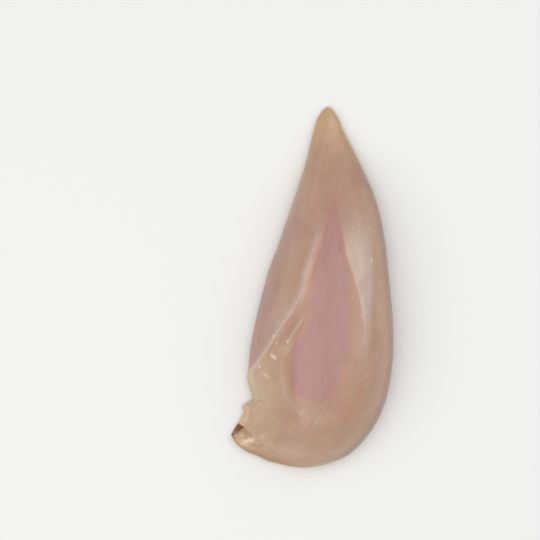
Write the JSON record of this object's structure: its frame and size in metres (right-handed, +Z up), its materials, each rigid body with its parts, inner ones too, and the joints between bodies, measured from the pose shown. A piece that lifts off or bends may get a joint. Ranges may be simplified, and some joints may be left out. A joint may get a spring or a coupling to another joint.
{
  "type": "raw chicken breast",
  "caption": "Raw boneless, skinless chicken breast fillet, thick and round at the shoulder end and tapering to a thin tail, lying on its flat rib side.",
  "frame": {"origin": "middle of the fillet's bounding box, at the level of the board it lies on", "axes": "+Y along the fillet from the round shoulder end to the thin tail, +X towards the plump outer side, +Z up from the flat rib side to the domed skin side"},
  "size_m": [0.073, 0.163, 0.0304],
  "materials": {
    "raw_chicken_flesh": "moist, translucent, low gloss; pale pink flesh with whitish membrane and fat"
  },
  "bodies": {
    "root": {"chicken_breast": "raw_chicken_flesh"}
  },
  "joints": []
}
